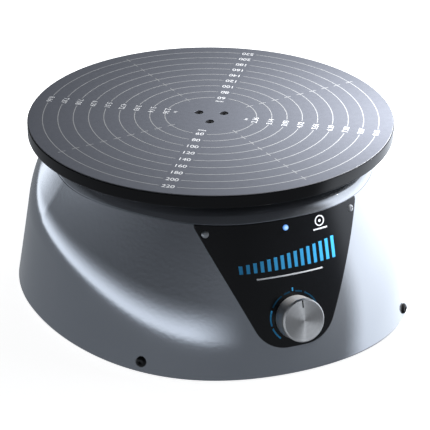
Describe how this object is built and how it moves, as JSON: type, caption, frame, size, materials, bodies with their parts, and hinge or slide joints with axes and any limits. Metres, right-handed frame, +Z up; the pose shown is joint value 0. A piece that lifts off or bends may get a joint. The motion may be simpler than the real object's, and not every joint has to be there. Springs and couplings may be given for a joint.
{
  "type": "decorating turntable",
  "caption": "Motorised decorating turntable: a round disc with a printed ring scale on a sloped-front housing with a speed knob.",
  "frame": {"origin": "on the surface it stands on, under the spindle axis", "axes": "+Z up along the spindle; the control panel and knob face -Y"},
  "size_m": [0.2578, 0.2875, 0.118],
  "materials": {
    "housing": "glossy grey-blue",
    "disc_laminate": "satin dark grey with white printed rings, gloss black rim",
    "control_panel": "satin black printed fascia",
    "lens": "lit blue-white lens",
    "black_screw": "black oxide",
    "feet": "matt black",
    "belt": "matt black",
    "knob": "turned",
    "pcb": "solder resist",
    "brass": "turned",
    "black_plastic": "moulded",
    "lead": "insulated",
    "casting": "cast",
    "steel": "plated"
  },
  "bodies": {
    "base": {"base_plate": "black_screw", "bearing_housing": "casting", "bearing_lower_outer": "steel", "bearing_screw_1": "steel", "bearing_screw_2": "steel", "bearing_screw_3": "steel", "bearing_upper_outer": "steel", "board_post_1": "brass", "board_post_2": "brass", "board_post_3": "brass", "board_post_4": "brass", "bracket_screw_1": "steel", "bracket_screw_2": "steel", "capacitor_1": "black_plastic", "capacitor_2": "black_plastic", "circuit_board": "pcb", "control_panel": "control_panel", "dc_inlet": "black_plastic", "drive_belt": "belt", "foot_front_left": "feet", "foot_front_right": "feet", "foot_rear_left": "feet", "foot_rear_right": "feet", "heatsink": "knob", "housing_shell": "housing", "inlet_nut": "steel", "lead_inlet": "lead", "lead_led": "lead", "lead_motor": "lead", "lead_speed": "lead", "motor_body": "steel", "motor_bracket": "steel", "motor_screw_1": "steel", "motor_screw_2": "steel", "panel_screw_1": "steel", "panel_screw_2": "steel", "potentiometer_nut": "steel", "power_led": "lens", "skirt_screw_1": "black_screw", "skirt_screw_2": "black_screw", "skirt_screw_3": "black_screw", "skirt_screw_4": "black_screw", "speed_potentiometer": "brass", "terminal_block": "pcb"},
    "turntable": {"bearing_lower_inner": "steel", "bearing_upper_inner": "steel", "disc_screw_1": "black_screw", "disc_screw_2": "black_screw", "disc_screw_3": "black_screw", "drive_hub": "knob", "driven_pulley": "black_plastic", "spindle_clip": "steel", "spindle_shaft": "steel", "turntable_disc": "disc_laminate"},
    "motor_rotor": {"motor_pulley": "brass", "motor_shaft": "steel"},
    "knob": {"knob_cap": "knob", "knob_shaft": "steel"}
  },
  "joints": [
    {"name": "turntable_spin", "type": "hinge", "parent": "base", "child": "turntable", "pos_m": [0, 0, 0.1], "axis": [0, 0, 1], "continuous": true},
    {"name": "motor_spin", "type": "hinge", "parent": "base", "child": "motor_rotor", "pos_m": [0, 0.072, 0.057], "axis": [0, 0, 1], "continuous": true},
    {"name": "knob_turn", "type": "hinge", "parent": "base", "child": "knob", "pos_m": [0, -0.13781, 0.039], "axis": [0, -0.9496, 0.3134], "range_deg": [-135, 135]}
  ],
  "couplings": [
    {"joint": "motor_spin", "follows": "turntable_spin", "ratio": 5}
  ]
}
